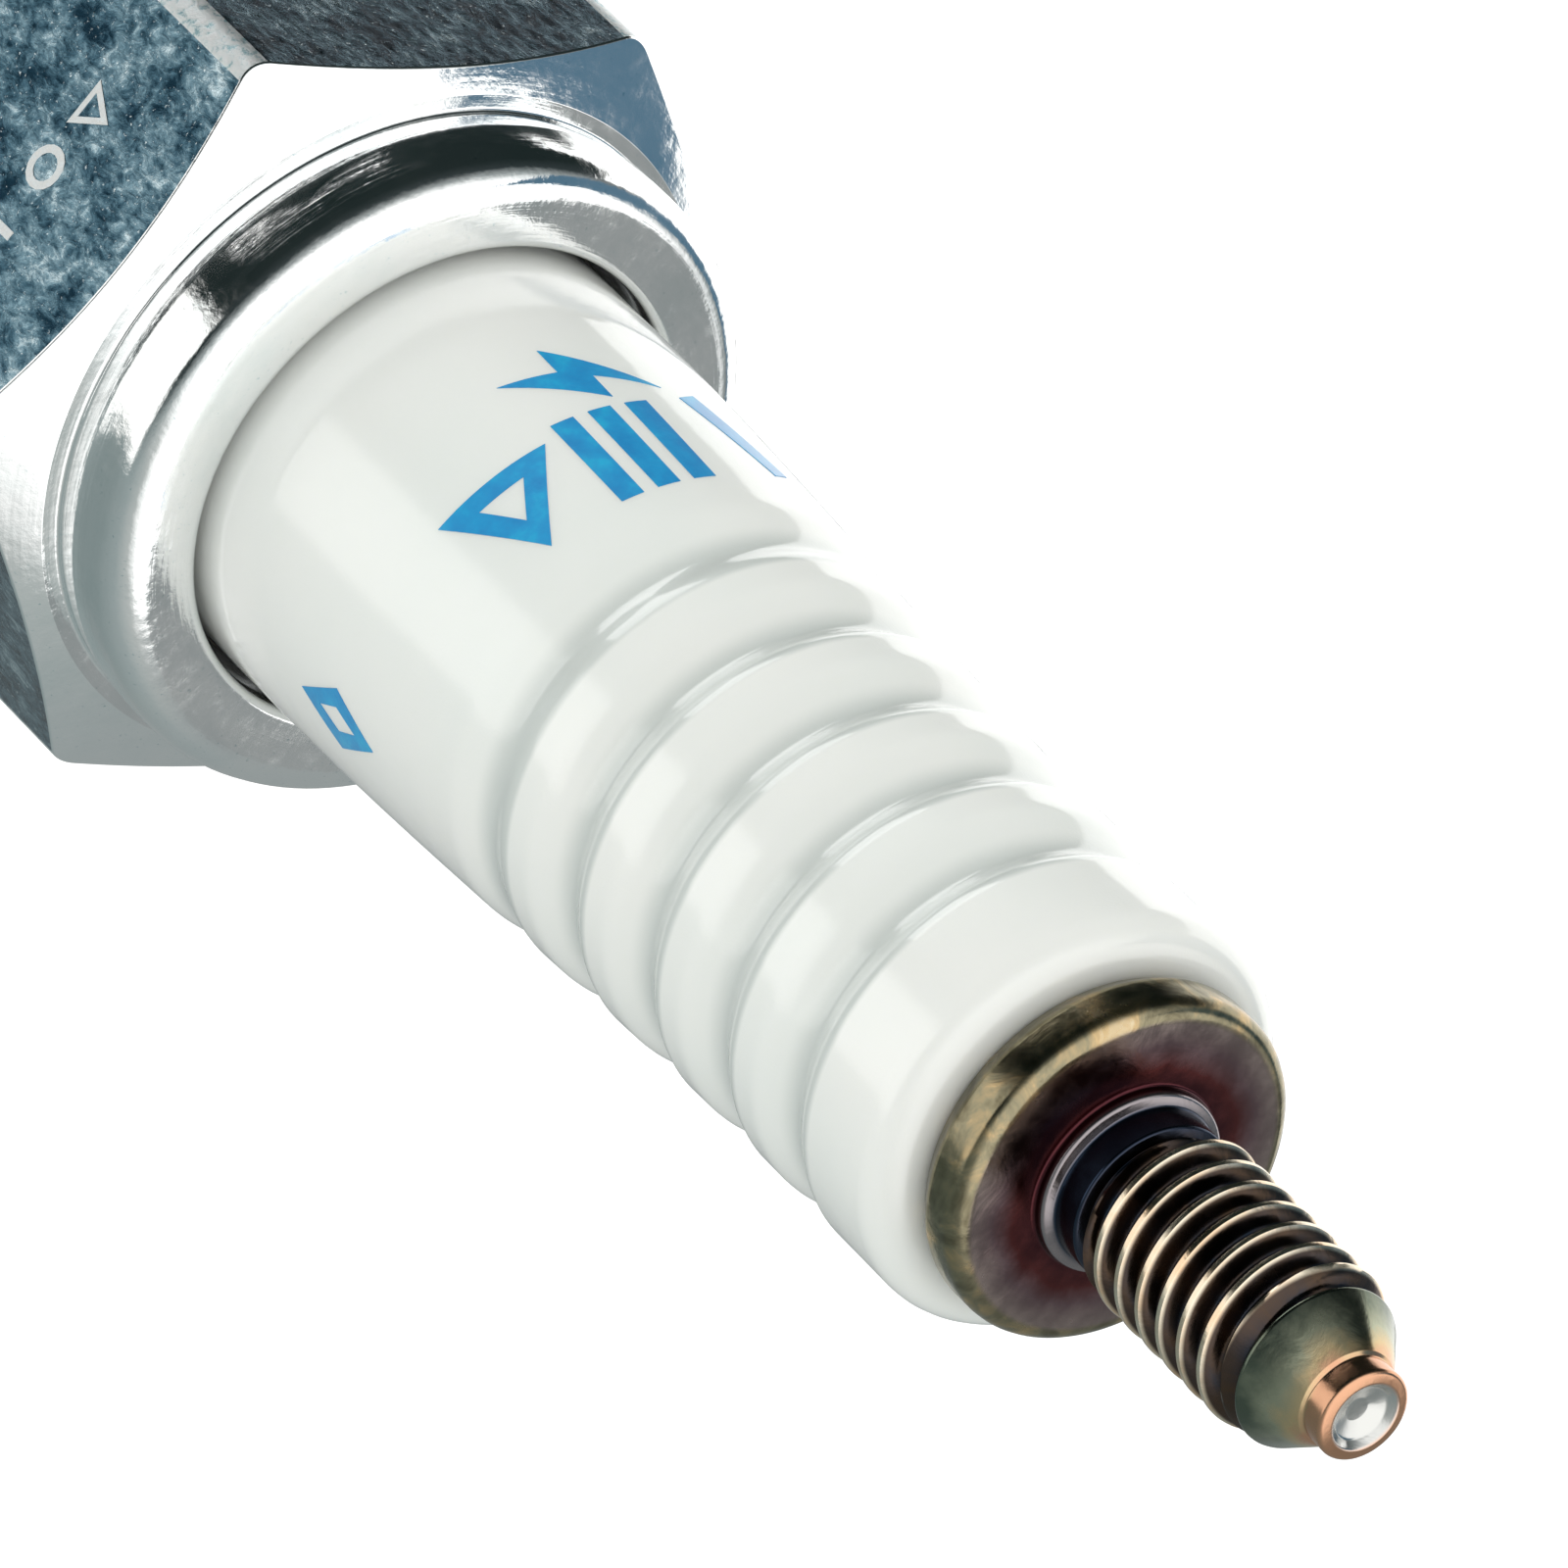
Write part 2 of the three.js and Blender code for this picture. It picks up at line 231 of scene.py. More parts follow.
def turned(name, corners, materials, closed=True, columns=128, steps=4):
    outline = rounded(corners, closed, steps)
    return swept(name, lambda angle: outline, even_angles(columns), closed, materials)


def smoothstep(value, low, high):
    share = min(max((value - low) / (high - low), 0), 1)
    return share * share * (3 - 2 * share)


def blend(low, high, share):
    return low + (high - low) * share


def thread_rows(angle, crest, root, pitch, low, high, steps=12):
    """One helical stretch of a rolled 60 degree thread, as cut by the half plane at this angle."""
    rows = []
    flank = (crest - root) * math.tan(math.radians(30)) / pitch
    crest_half = 0.07
    turns = math.ceil((high - low) / pitch) + 1
    for step in range(-steps, turns * steps):
        share = step / steps
        from_crest = abs((share + 0.375) % 1 - 0.5)
        drop = min(max((from_crest - crest_half) / flank, 0), 1)
        rounded_drop = blend(drop, drop * drop * (3 - 2 * drop), 0.6)
        height = min(max(low + (share + angle / TURN) * pitch, low), high)
        run_out = root + min(height - low, high - height)
        rows.append((min(blend(crest, root, rounded_drop), run_out), height))
    return rows


# ---- Material helpers ----


class Surface:
    """A Principled material built from nodes, with lengths in millimetres."""

    def __init__(self, name, **values):
        self.material = bpy.data.materials.new(name)
        self.material.use_nodes = True
        self.tree = self.material.node_tree
        self.shader = self.tree.nodes["Principled BSDF"]
        for socket, value in values.items():
            self.set(socket.replace("_", " "), value)
        place = self.node("ShaderNodeTexCoord").outputs["Object"]
        self.place = self.vector("SCALE", place, scale=1 / MM)

    def node(self, kind, **settings):
        node = self.tree.nodes.new(kind)
        for name, value in settings.items():
            setattr(node, name, value)
        return node

    def feed(self, socket, value):
        if isinstance(value, bpy.types.NodeSocket):
            self.tree.links.new(value, socket)
        elif isinstance(value, (tuple, list)) and socket.type == "RGBA":
            socket.default_value = (*value, 1.0)
        else:
            socket.default_value = value

    def set(self, socket, value):
        self.feed(self.shader.inputs[socket], value)

    def vector(self, operation, first, second=None, scale=None):
        node = self.node("ShaderNodeVectorMath", operation=operation)
        self.feed(node.inputs[0], first)
        if second is not None:
            self.feed(node.inputs[1], second)
        if scale is not None:
            self.feed(node.inputs["Scale"], scale)
        return node.outputs["Vector"]

    def math(self, operation, first, second=None, third=None):
        node = self.node("ShaderNodeMath", operation=operation)
        for socket, value in zip(node.inputs, (first, second, third)):
            if value is not None:
                self.feed(socket, value)
        return node.outputs["Value"]

    def axes(self, place=None):
        node = self.node("ShaderNodeSeparateXYZ")
        self.feed(node.inputs[0], self.place if place is None else place)
        return node.outputs["X"], node.outputs["Y"], node.outputs["Z"]

    def height(self):
        return self.axes()[2]

    def radius(self):
        flat = self.vector("MULTIPLY", self.place, (1, 1, 0))
        node = self.node("ShaderNodeVectorMath", operation="LENGTH")
        self.feed(node.inputs[0], flat)
        return node.outputs["Value"]

    def around(self, along, across):
        """Coordinates for marks that run round the axis: fine across it, long along the turn."""
        flat = self.vector("MULTIPLY", self.place, (1, 1, 0))
        direction = self.vector("SCALE", self.vector("NORMALIZE", flat), scale=along)
        node = self.node("ShaderNodeCombineXYZ")
        level = self.math("ADD", self.height(), self.radius())
        self.feed(node.inputs["Z"], self.math("MULTIPLY", level, across))
        return self.vector("ADD", direction, node.outputs[0])

    def noise(self, scale, detail=4.0, roughness=0.55, place=None, distortion=0.0):
        node = self.node("ShaderNodeTexNoise")
        self.feed(node.inputs["Vector"], self.place if place is None else place)
        node.inputs["Scale"].default_value = scale
        node.inputs["Detail"].default_value = detail
        node.inputs["Roughness"].default_value = roughness
        node.inputs["Distortion"].default_value = distortion
        return node.outputs["Fac"]

    def range(self, value, low, high, to_low=0.0, to_high=1.0, smooth=True):
        kind = "SMOOTHSTEP" if smooth else "LINEAR"
        node = self.node("ShaderNodeMapRange", interpolation_type=kind)
        self.feed(node.inputs["Value"], value)
        node.inputs["From Min"].default_value = low
        node.inputs["From Max"].default_value = high
        node.inputs["To Min"].default_value = to_low
        node.inputs["To Max"].default_value = to_high
        return node.outputs["Result"]

    def ramp(self, value, *stops):
        """A colour ramp from (position, colour) stops."""
        node = self.node("ShaderNodeValToRGB")
        elements = node.color_ramp.elements
        while len(elements) < len(stops):
            elements.new(0.5)
        for element, (position, colour) in zip(elements, stops):
            element.position = position
            element.color = (*colour, 1.0)
        self.feed(node.inputs["Fac"], value)
        return node.outputs["Color"]

    def mix(self, share, first, second, blend_type="MIX"):
        node = self.node("ShaderNodeMix", data_type="RGBA", blend_type=blend_type)
        self.feed(node.inputs["Factor"], share)
        self.feed(node.inputs["A"], first)
        self.feed(node.inputs["B"], second)
        return node.outputs["Result"]

    def bump(self, height, distance, strength=1.0, normal=None):
        """Bump by a height of 0 to 1 that stands for this distance in millimetres."""
        node = self.node("ShaderNodeBump")
        node.inputs["Strength"].default_value = strength
        node.inputs["Distance"].default_value = distance * MM
        self.feed(node.inputs["Height"], height)
        if normal is not None:
            self.feed(node.inputs["Normal"], normal)
        return node.outputs["Normal"]


# ---- Materials ----


def plated_turned():
    """Bright plating on turned steel: faint tool rings, teal pin marks and a cloudy finish."""
    s = Surface("plated_turned", Metallic=1.0)
    cloud = s.noise(0.9, 5, 0.6, s.around(3.0, 0.9))
    rings = s.noise(1.0, 3, 0.5, s.around(1.6, 9.0))
    grain = s.noise(2.6, 4, 0.55)
    pins = s.noise(11.0, 3, 0.6)
    tint = s.ramp(cloud, (0.25, (0.86, 0.9, 0.9)), (0.5, (0.95, 0.96, 0.96)), (0.75, (0.97, 0.97, 0.96)))
    s.set("Base Color", s.mix(s.range(pins, 0.64, 0.76, 0, 0.5), tint, (0.3, 0.5, 0.54)))
    polish = s.range(cloud, 0.3, 0.7, 0.06, 0.15)
    s.set("Roughness", s.math("ADD", polish, s.range(grain, 0.5, 0.8, 0, 0.1)))
    fine = s.bump(rings, 0.006)
    s.set("Normal", s.bump(grain, 0.01, normal=fine))
    return s.material


def plated_arris():
    """The hexagon's corners: rougher than the flats between them, and painted brighter with teal fringes
    as a highlight.
    """
    s = Surface("plated_arris", Metallic=1.0)
    grain = s.noise(5.0, 5, 0.7)
    # Painted highlight: a white base colour with teal fringes on the corners.
    painted_corner_highlight = s.ramp(grain, (0.36, (0.34, 0.55, 0.6)), (0.47, (0.9, 0.95, 0.95)), (0.7, (1.0, 1.0, 1.0)))
    s.set("Base Color", painted_corner_highlight)
    s.set("Roughness", s.range(grain, 0.3, 0.7, 0.42, 0.58))
    s.set("Normal", s.bump(grain, 0.02))
    return s.material


def plated_flats():
    """The cold-formed flats: plating painted dark blue-grey as a reflection of dark surroundings, with a
    fibrous mottle, dark pits and pale specks.
    """
    s = Surface("plated_flats", Metallic=1.0)
    fibre = s.noise(4.0, 7, 0.75, s.vector("MULTIPLY", s.place, (1.0, 1.0, 0.6)), 0.7)
    specks = s.noise(9.0, 4, 0.7)
    cloud = s.noise(0.9, 4, 0.6)
    # Painted reflection: the dark blue-grey base colour stands for the dark surroundings that the flats
    # mirror.
    painted_dark_reflection = s.ramp(
        s.math("MULTIPLY_ADD", cloud, 0.5, s.math("MULTIPLY", fibre, 0.5)),
        (0.41, (0.008, 0.03, 0.05)),
        (0.48, (0.055, 0.12, 0.165)),
        (0.55, (0.17, 0.28, 0.34)),
        (0.64, (0.6, 0.73, 0.78)),
    )
    s.set("Base Color", s.mix(s.range(specks, 0.6, 0.7, 0, 0.85), painted_dark_reflection, (0.85, 0.93, 0.95)))
    s.set("Roughness", s.range(fibre, 0.3, 0.7, 0.18, 0.1))
    coarse = s.bump(fibre, 0.009)
    s.set("Normal", s.bump(specks, 0.005, normal=coarse))
    return s.material


def plated_thread():
    """Rolled thread: satin plating, with painted shade that makes it a little darker in the roots."""
    s = Surface("plated_thread", Metallic=1.0)
    cloud = s.noise(1.2, 5, 0.6)
    rolled = s.noise(1.0, 4, 0.6, s.around(4.0, 14.0))
    depth = s.range(s.radius(), THREAD["root"] + 0.05, THREAD["crest"] - 0.05)
    # Painted shade: the base colour darkens from the crests down into the roots.
    shade = s.mix(depth, (0.34, 0.36, 0.37), (0.74, 0.76, 0.76))
    s.set("Base Color", s.mix(s.range(cloud, 0.35, 0.75, 0, 0.5), shade, (0.5, 0.54, 0.56)))
    s.set("Roughness", s.range(cloud, 0.3, 0.7, 0.2, 0.34))
    s.set("Normal", s.bump(rolled, 0.006))
    return s.material


def stamp_highlight():
    """The stamped signs: rough, and painted bright as a highlight for the light their edges catch."""
    s = Surface("stamp_highlight", Metallic=1.0)
    grain = s.noise(9.0, 3, 0.6)
    # Painted highlight: a near-white base colour over the whole of each stamped sign.
    s.set("Base Color", s.ramp(grain, (0.3, (0.72, 0.78, 0.8)), (0.7, (1.0, 1.0, 0.98))))
    s.set("Roughness", s.range(grain, 0.3, 0.7, 0.3, 0.5))
    return s.material


def plated_gasket():
    """Folded sheet steel: satin plating with drawing lines round the ring."""
    s = Surface("plated_gasket", Metallic=1.0)
    cloud = s.noise(0.8, 4, 0.6)
    lines = s.noise(1.0, 4, 0.6, s.around(5.0, 16.0))
    s.set("Base Color", s.ramp(cloud, (0.3, (0.5, 0.52, 0.53)), (0.7, (0.74, 0.75, 0.75))))
    s.set("Roughness", s.range(lines, 0.3, 0.7, 0.24, 0.42))
    s.set("Normal", s.bump(lines, 0.008))
    return s.material


def glazed_alumina():
    """White alumina under clear glaze with soft waves, and painted shade on the wall below each rib's
    lip.
    """
    s = Surface(
        "glazed_alumina",
        Roughness=0.28,
        IOR=1.55,
        Subsurface_Weight=0.25,
        Subsurface_Scale=0.6 * MM,
        Coat_Weight=1.0,
        Coat_Roughness=0.045,
        Coat_IOR=1.5,
    )
    s.set("Subsurface Radius", (1.0, 1.0, 0.9))
    cloud = s.noise(0.12, 3, 0.5)
    grain = s.noise(14.0, 3, 0.6)
    body = s.ramp(cloud, (0.35, (0.79, 0.825, 0.795)), (0.65, (0.84, 0.85, 0.82)))
    # Pitches above the first groove. The wall that climbs to a rib's lip is at 0 to 0.35 of a pitch.
    turns = s.math("DIVIDE", s.math("SUBTRACT", s.height(), FIRST_GROOVE), RIB_PITCH)
    last = RIB_COUNT - 1
    ribbed = s.math("MULTIPLY", s.range(turns, -0.3, -0.1), s.range(turns, last + 0.6, last + 0.4))
    phase = s.math("FRACT", s.math("ADD", turns, 0.4))
    wall = s.math("MULTIPLY", s.range(phase, 0.24, 0.46), s.range(phase, 0.8, 0.73))
    # Painted shade: the base colour is darker on the wall below each rib's lip, on top of the grooves'
    # real shade.
    painted_groove_shade = s.mix(s.math("MULTIPLY", wall, ribbed), body, (0.61, 0.65, 0.625))
    s.set("Base Color", s.mix(s.range(grain, 0.6, 0.85, 0, 0.25), painted_groove_shade, (0.74, 0.77, 0.74)))
    waves = s.bump(s.noise(0.8, 2, 0.5, s.around(2.0, 0.8)), 0.02)
    s.set("Coat Normal", waves)
    s.set("Normal", s.bump(grain, 0.003))
    return s.material


def bare_alumina():
    """Unglazed alumina of the core and nose: chalky and slightly pitted."""
    s = Surface("bare_alumina", IOR=1.6, Subsurface_Weight=0.2, Subsurface_Scale=0.4 * MM)
    cloud = s.noise(0.5, 4, 0.6)
    grain = s.noise(9.0, 5, 0.7)
    s.set("Base Color", s.ramp(cloud, (0.3, (0.8, 0.79, 0.75)), (0.7, (0.9, 0.89, 0.86))))
    s.set("Roughness", s.range(grain, 0.3, 0.7, 0.5, 0.72))
    s.set("Normal", s.bump(grain, 0.01))
    return s.material


def blue_ink():
    """Fired blue print, thinner and lighter in patches."""
    s = Surface("blue_ink", Roughness=0.35, IOR=1.5, Coat_Weight=0.8, Coat_Roughness=0.06)
    cloud = s.noise(1.4, 3, 0.6)
    s.set(
        "Base Color",
        s.ramp(
            cloud,
            (0.36, (0.0, 0.24, 0.56)),
            (0.56, (0.0, 0.3, 0.62)),
            (0.72, (0.0, 0.4, 0.68)),
        ),
    )
    s.set("Normal", s.bump(s.noise(12.0, 2, 0.5), 0.004))
    return s.material


def screw_colours(s, radius, cloud, streak):
    """Dark roots, brown flanks and straw crests on the terminal's screw."""
    crest_radius = STUD_THREAD["crest"]
    root = s.ramp(streak, (0.35, (0.02, 0.03, 0.045)), (0.65, (0.07, 0.045, 0.03)))
    browned = s.range(radius, STUD_THREAD["root"], crest_radius - 0.1, 0, 0.6)
    flank = s.mix(browned, root, (0.09, 0.06, 0.042))
    crest = s.ramp(cloud, (0.3, (0.8, 0.56, 0.36)), (0.6, (0.86, 0.76, 0.6)))
    return s.mix(s.range(radius, crest_radius - 0.1, crest_radius - 0.01), flank, crest)


def tip_colours(s, height, radius, cloud):
    """The screw's green-black cone, with a copper rim and a bare steel dimple at its end."""
    tip = s.ramp(
        s.math("ADD", s.range(height, CONE_LOW, TERMINAL_TIP), s.range(cloud, 0.3, 0.7, -0.1, 0.1)),
        (0.0, (0.12, 0.145, 0.11)),
        (0.35, (0.38, 0.39, 0.28)),
        (0.6, (0.6, 0.46, 0.26)),
        (0.78, (0.66, 0.36, 0.22)),
    )
    bare = s.mix(s.range(radius, PIP_RADIUS - 0.2, PIP_RADIUS - 0.3), tip, (0.62, 0.62, 0.6))
    return s.mix(s.range(height, TERMINAL_TIP - 0.6, TERMINAL_TIP - 0.5), tip, bare)


def heat_tinted():
    """Terminal steel with temper colours: bronze rim, purple-brown face and a dark screw."""
    s = Surface("heat_tinted", Metallic=1.0)
    height = s.height()
    radius = s.radius()
    cloud = s.noise(1.1, 4, 0.6)
    blotch = s.noise(1.1, 4, 0.6, None, 0.8)
    streak = s.noise(1.0, 4, 0.6, s.around(2.0, 6.0))
    rim = s.ramp(
        blotch,
        (0.34, (0.15, 0.13, 0.08)),
        (0.5, (0.27, 0.24, 0.155)),
        (0.6, (0.38, 0.3, 0.175)),
        (0.68, (0.52, 0.38, 0.2)),
        (0.8, (0.62, 0.54, 0.38)),
    )
    face = s.ramp(
        s.math("ADD", s.range(radius, 1.9, 3.6), s.range(cloud, 0.3, 0.7, -0.08, 0.08)),
        (0.0, (0.07, 0.02, 0.025)),
        (0.25, (0.13, 0.035, 0.035)),
        (0.6, (0.2, 0.13, 0.14)),
        (1.0, (0.34, 0.27, 0.25)),
    )
    shoulder = s.mix(s.range(height, FLANGE_TOP + 0.12, FLANGE_TOP + 0.2), face, (0.3, 0.27, 0.28))
    undercut = s.mix(s.range(height, FLANGE_TOP + 0.3, FLANGE_TOP + 0.36), shoulder, (0.03, 0.045, 0.075))
    screw = screw_colours(s, radius, cloud, streak)
    upper = s.mix(s.range(height, STUD_THREAD["low"] - 0.17, STUD_THREAD["low"] + 0.03), undercut, screw)
    flanged = s.mix(s.range(radius, 3.34, 3.5), upper, rim)
    tip = tip_colours(s, height, radius, cloud)
    s.set("Base Color", s.mix(s.range(height, CONE_LOW - 0.1, CONE_LOW + 0.05), flanged, tip))
    s.set("Roughness", s.range(cloud, 0.3, 0.7, 0.14, 0.28))
    s.set("Normal", s.bump(blotch, 0.012))
    return s.material


def metal(name, dark, light, smooth, rough, cloud_scale=1.0, line_depth=0.006):
    """Plain metal with drawing lines along the turn and a cloudy finish."""
    s = Surface(name, Metallic=1.0)
    cloud = s.noise(cloud_scale, 5, 0.6)
    lines = s.noise(1.0, 4, 0.6, s.around(3.0, 12.0))
    s.set("Base Color", s.ramp(cloud, (0.3, dark), (0.7, light)))
    s.set("Roughness", s.range(lines, 0.3, 0.7, smooth, rough))
    s.set("Normal", s.bump(lines, line_depth))
    return s.material


def powder(name, dark, light, grain_scale, pit_depth, rough=0.8):
    """A dull grainy solid, such as pressed powder or filled glass."""
    s = Surface(name)
    cloud = s.noise(0.8, 4, 0.6)
    grain = s.noise(grain_scale, 5, 0.7)
    mixed = s.mix(s.range(cloud, 0.3, 0.7), dark, light)
    s.set("Base Color", s.mix(s.range(grain, 0.55, 0.75, 0, 0.5), mixed, dark))
    s.set("Roughness", s.range(grain, 0.3, 0.7, rough - 0.12, rough + 0.1))
    s.set("Normal", s.bump(grain, pit_depth))
    return s.material


# ---- Shell ----

# Angle that one side of the hexagon takes up, and how far its flat goes each way before the corner
HEX_SECTOR = math.pi / 3
FLAT_REACH = math.atan((HALF_FLATS - HEX_EDGE_FILLET) * math.tan(HEX_SECTOR / 2) / HALF_FLATS)


def hex_radius(angle):
    """Radius of the hexagon with rounded corners, in a direction from the axis."""
    from_flat = abs(angle - HEX_SECTOR * round(angle / HEX_SECTOR))
    if from_flat < FLAT_REACH:
        return HALF_FLATS / math.cos(from_flat)
    from_corner = HEX_SECTOR / 2 - from_flat
    centre = (HALF_FLATS - HEX_EDGE_FILLET) / math.cos(HEX_SECTOR / 2)
    across = centre * math.sin(from_corner)
    return centre * math.cos(from_corner) + math.sqrt(HEX_EDGE_FILLET**2 - across**2)


def shell_section(angle):
    corner = hex_radius(angle)
    drop = (corner - CHAMFER_RADIUS) * math.tan(CHAMFER_SLOPE)
    below = [(POCKET_RADIUS, SHELL_END, 0.12), (RELIEF_RADIUS - 0.1, SHELL_END, 0.12)]
    above = [
        (RELIEF_RADIUS, THREAD["high"] + 0.15, 0.06),
        (RELIEF_RADIUS, -0.3, 0.15),
        (RELIEF_RADIUS + 0.3, 0.0, 0.1),
        (SEAT_RADIUS, 0.0, 0.25),
        (SEAT_RADIUS, SEAT_TOP, 0.35),
        (WAIST_RADIUS, SEAT_TOP + 0.05, 0.3),
        (WAIST_RADIUS, HEX_LOW - 0.1, 0.25),
        (CHAMFER_RADIUS, HEX_LOW, 0.1),
        (corner, HEX_LOW + drop, 0.1),
        (corner, HEX_HIGH - drop, 0.08),
        (CHAMFER_RADIUS - 0.1, HEX_HIGH + 0.04, 0.05),
        (COLLAR_RADIUS - 0.13, HEX_HIGH + 0.06, 0.1),
        (COLLAR_RADIUS, HEX_HIGH + 0.78, 0.5),
        (COLLAR_RADIUS, COLLAR_TOP, 1.2),
        (LIP_RADIUS, COLLAR_TOP, 0.22),
        (LIP_RADIUS, COLLAR_TOP - 0.65, 0.15),
        (SHELL_BORE, COLLAR_TOP - 1.25, 0.1),
        (SHELL_BORE, BODY_LOW - 0.12, 0.1),
        (CORE_BORE, BODY_LOW - 2.6, 0.1),
        (CORE_BORE, LEDGE_HEIGHT + CORE_BORE - LEDGE_RADIUS, 0.1),
        (LEDGE_RADIUS, LEDGE_HEIGHT, 0.1),
        (LEDGE_RADIUS, LEDGE_HEIGHT - 1.2, 0.1),
        (POCKET_RADIUS, LEDGE_HEIGHT - 1.8, 0.1),
    ]
    return rounded([*below, *thread_rows(angle, **THREAD), *above], closed=True, steps=6)


def hexagon_angles(plain=24, corner=12):
    """Angles round the hexagon, closer together over its six rounded corners."""
    reach = math.radians(3)
    angles = []
    for side in range(6):
        start = (side - 0.5) * HEX_SECTOR
        end = (side + 0.5) * HEX_SECTOR
        flat = np.linspace(start + reach, end - reach, plain)
        edge = np.linspace(end - reach, end + reach, corner)
        angles += [*flat[:-1], *edge[:-1]]
    return [float(angle) for angle in angles]


def shell_material(low_point, high_point):
    """0 for turned faces, 1 for the flats, 2 for the thread and 3 for the hexagon's corners."""
    radius = min(low_point[0], high_point[0])
    height = (low_point[1] + high_point[1]) / 2
    upright = abs(low_point[0] - high_point[0]) < 1e-3
    if upright and radius > HALF_FLATS - 0.01 and HEX_LOW < height < HEX_HIGH:
        return 3 if radius > hex_radius(FLAT_REACH) else 1
    if height < THREAD["high"] and radius > RELIEF_RADIUS:
        return 2
    return 0


def build_shell():
    materials = [plated_turned(), plated_flats(), plated_thread(), plated_arris()]
    shell = swept("shell_body", shell_section, hexagon_angles(), True, materials, shell_material)
    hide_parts("shell")
    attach(shell, "plug")


# ---- Insulator ----


def glazed_radius(height):
    taper = smoothstep(height, COLLAR_TOP + 1, TAPER_TOP)
    return blend(NECK_RADIUS, HEAD_RADIUS, taper)


def groove_form(share):
    """Depth of a rib's groove, 0 to 1, at a share of the pitch from its deepest line.

    It comes down gently from the collar's side and rises faster to a rounded lip."""
    return smoothstep(share, -0.4, 0.06) * (1 - smoothstep(share, 0.04, 0.36))


def rib_rows(steps=20):
    """The ribs overlap like shingles. The first groove is shallower."""
    rows = []
    for rib in range(RIB_COUNT):
        deepest = GROOVE_DEPTH * (FIRST_GROOVE_SHARE if rib == 0 else 1)
        for step in range(steps):
            share = step / steps - 0.5
            height = FIRST_GROOVE + (rib + share) * RIB_PITCH
            rows.append((glazed_radius(height) - groove_form(share) * deepest, height))
    return rows


def build_insulator():
    seat_low = LEDGE_HEIGHT + LEDGE_GAP + NOSE_ROOT_RADIUS - LEDGE_RADIUS
    corners = [
        (NOSE_BORE, NOSE_TIP, 0.12),
        (NOSE_TIP_RADIUS, NOSE_TIP, 0.3),
        (NOSE_ROOT_RADIUS, seat_low, 0.3),
        (CORE_RADIUS, seat_low + CORE_RADIUS - NOSE_ROOT_RADIUS, 0.3),
        (CORE_RADIUS, BODY_LOW - 2.5, 0.4),
        (BODY_RADIUS, BODY_LOW, 0.5),
        (BODY_RADIUS, BODY_HIGH, 0.3),
        (NECK_RADIUS, BODY_HIGH + 0.7, 0.3),
        (NECK_RADIUS, COLLAR_TOP + 1),
        *[(glazed_radius(height), height) for height in (18, 19, 20, 21, 22, 23)],
        *rib_rows(),
        (HEAD_RADIUS, INSULATOR_TOP - 2),
        (HEAD_RADIUS, INSULATOR_TOP, 0.75),
        (UPPER_BORE, INSULATOR_TOP, 0.15),
        (UPPER_BORE, BORE_STEP, 0.1),
        (NOSE_BORE, BORE_STEP - 0.43, 0.1),
    ]
    outline = rounded(corners, True, 8)

    def glaze_ends(low_point, high_point):
        outside = min(low_point[0], high_point[0]) > UPPER_BORE + 0.1
        return 0 if outside and low_point[1] > BODY_HIGH else 1

    insulator = swept(
        "insulator_body",
        lambda angle: outline,
        even_angles(192),
        True,
        [glazed_alumina(), bare_alumina()],
        glaze_ends,
    )
    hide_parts("insulator")
    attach(insulator, "plug")


# ---- Printed and stamped marks ----

# Outlines are in millimetres, u to the right round the plug as seen with the terminal up, v upwards.
BOLT = [(-0.35, -1.55), (0.95, 0.3), (0.2, 0.3), (0.75, 1.6), (-0.9, -0.3), (-0.12, -0.3)]
BAR = [(-0.26, -1.3), (0.26, -1.3), (0.26, 1.3), (-0.26, 1.3)]


def polygon(sides, size, turn=0.0, squash=1.0):
    """Corners of a regular polygon, which squash narrows sideways."""
    return [
        (squash * size * math.sin(turn + TURN * i / sides), size * math.cos(turn + TURN * i / sides))
        for i in range(sides)
    ]


def band(outer, inner):
    """Quads between two outlines with the same number of corners."""
    count = len(outer)
    return [[outer[i], outer[(i + 1) % count], inner[(i + 1) % count], inner[i]] for i in range(count)]


def turned_outline(outline, angle, move=(0.0, 0.0)):
    c, s = math.cos(angle), math.sin(angle)
    return [(c * u - s * v + move[0], s * u + c * v + move[1]) for u, v in outline]


def marks(name, shapes, place, depth, rise, materials, cell=0.2):
    """Thin closed solids on a face. place(u, v, offset) gives a point at an offset off that face."""
    work = bmesh.new()
    for shape in shapes:
        for outline in shape:
            corners = [work.verts.new((u, v, 0)) for u, v in outline]
            work.faces.new(corners)
    bmesh.ops.remove_doubles(work, verts=work.verts, dist=1e-4)
    bmesh.ops.recalc_face_normals(work, faces=work.faces)
    bmesh.ops.triangulate(work, faces=work.faces)
    spread = [vertex.co.copy() for vertex in work.verts]
    for axis in (0, 1):
        low = min(point[axis] for point in spread)
        high = max(point[axis] for point in spread)
        for i in range(1, math.ceil((high - low) / cell)):
            at = Vector((0, 0, 0))
            at[axis] = low + i * cell
            normal = Vector((0, 0, 0))
            normal[axis] = 1
            everything = [*work.verts, *work.edges, *work.faces]
            bmesh.ops.bisect_plane(work, geom=everything, plane_co=at, plane_no=normal)
    copied = bmesh.ops.extrude_face_region(work, geom=list(work.faces))["geom"]
    raised = {item for item in copied if isinstance(item, bmesh.types.BMVert)}
    for vertex in work.verts:
        u, v, _ = vertex.co
        vertex.co = Vector(place(u, v, rise if vertex in raised else -depth)) * MM
    bmesh.ops.recalc_face_normals(work, faces=work.faces)
    mesh = bpy.data.meshes.new(name)
    work.to_mesh(mesh)
    work.free()
    for material in materials:
        mesh.materials.append(material)
    mesh.shade_smooth()
    mesh.set_sharp_from_angle(angle=math.radians(38))
    piece = bpy.data.objects.new(name, mesh)
    bpy.context.scene.collection.objects.link(piece)
    return piece


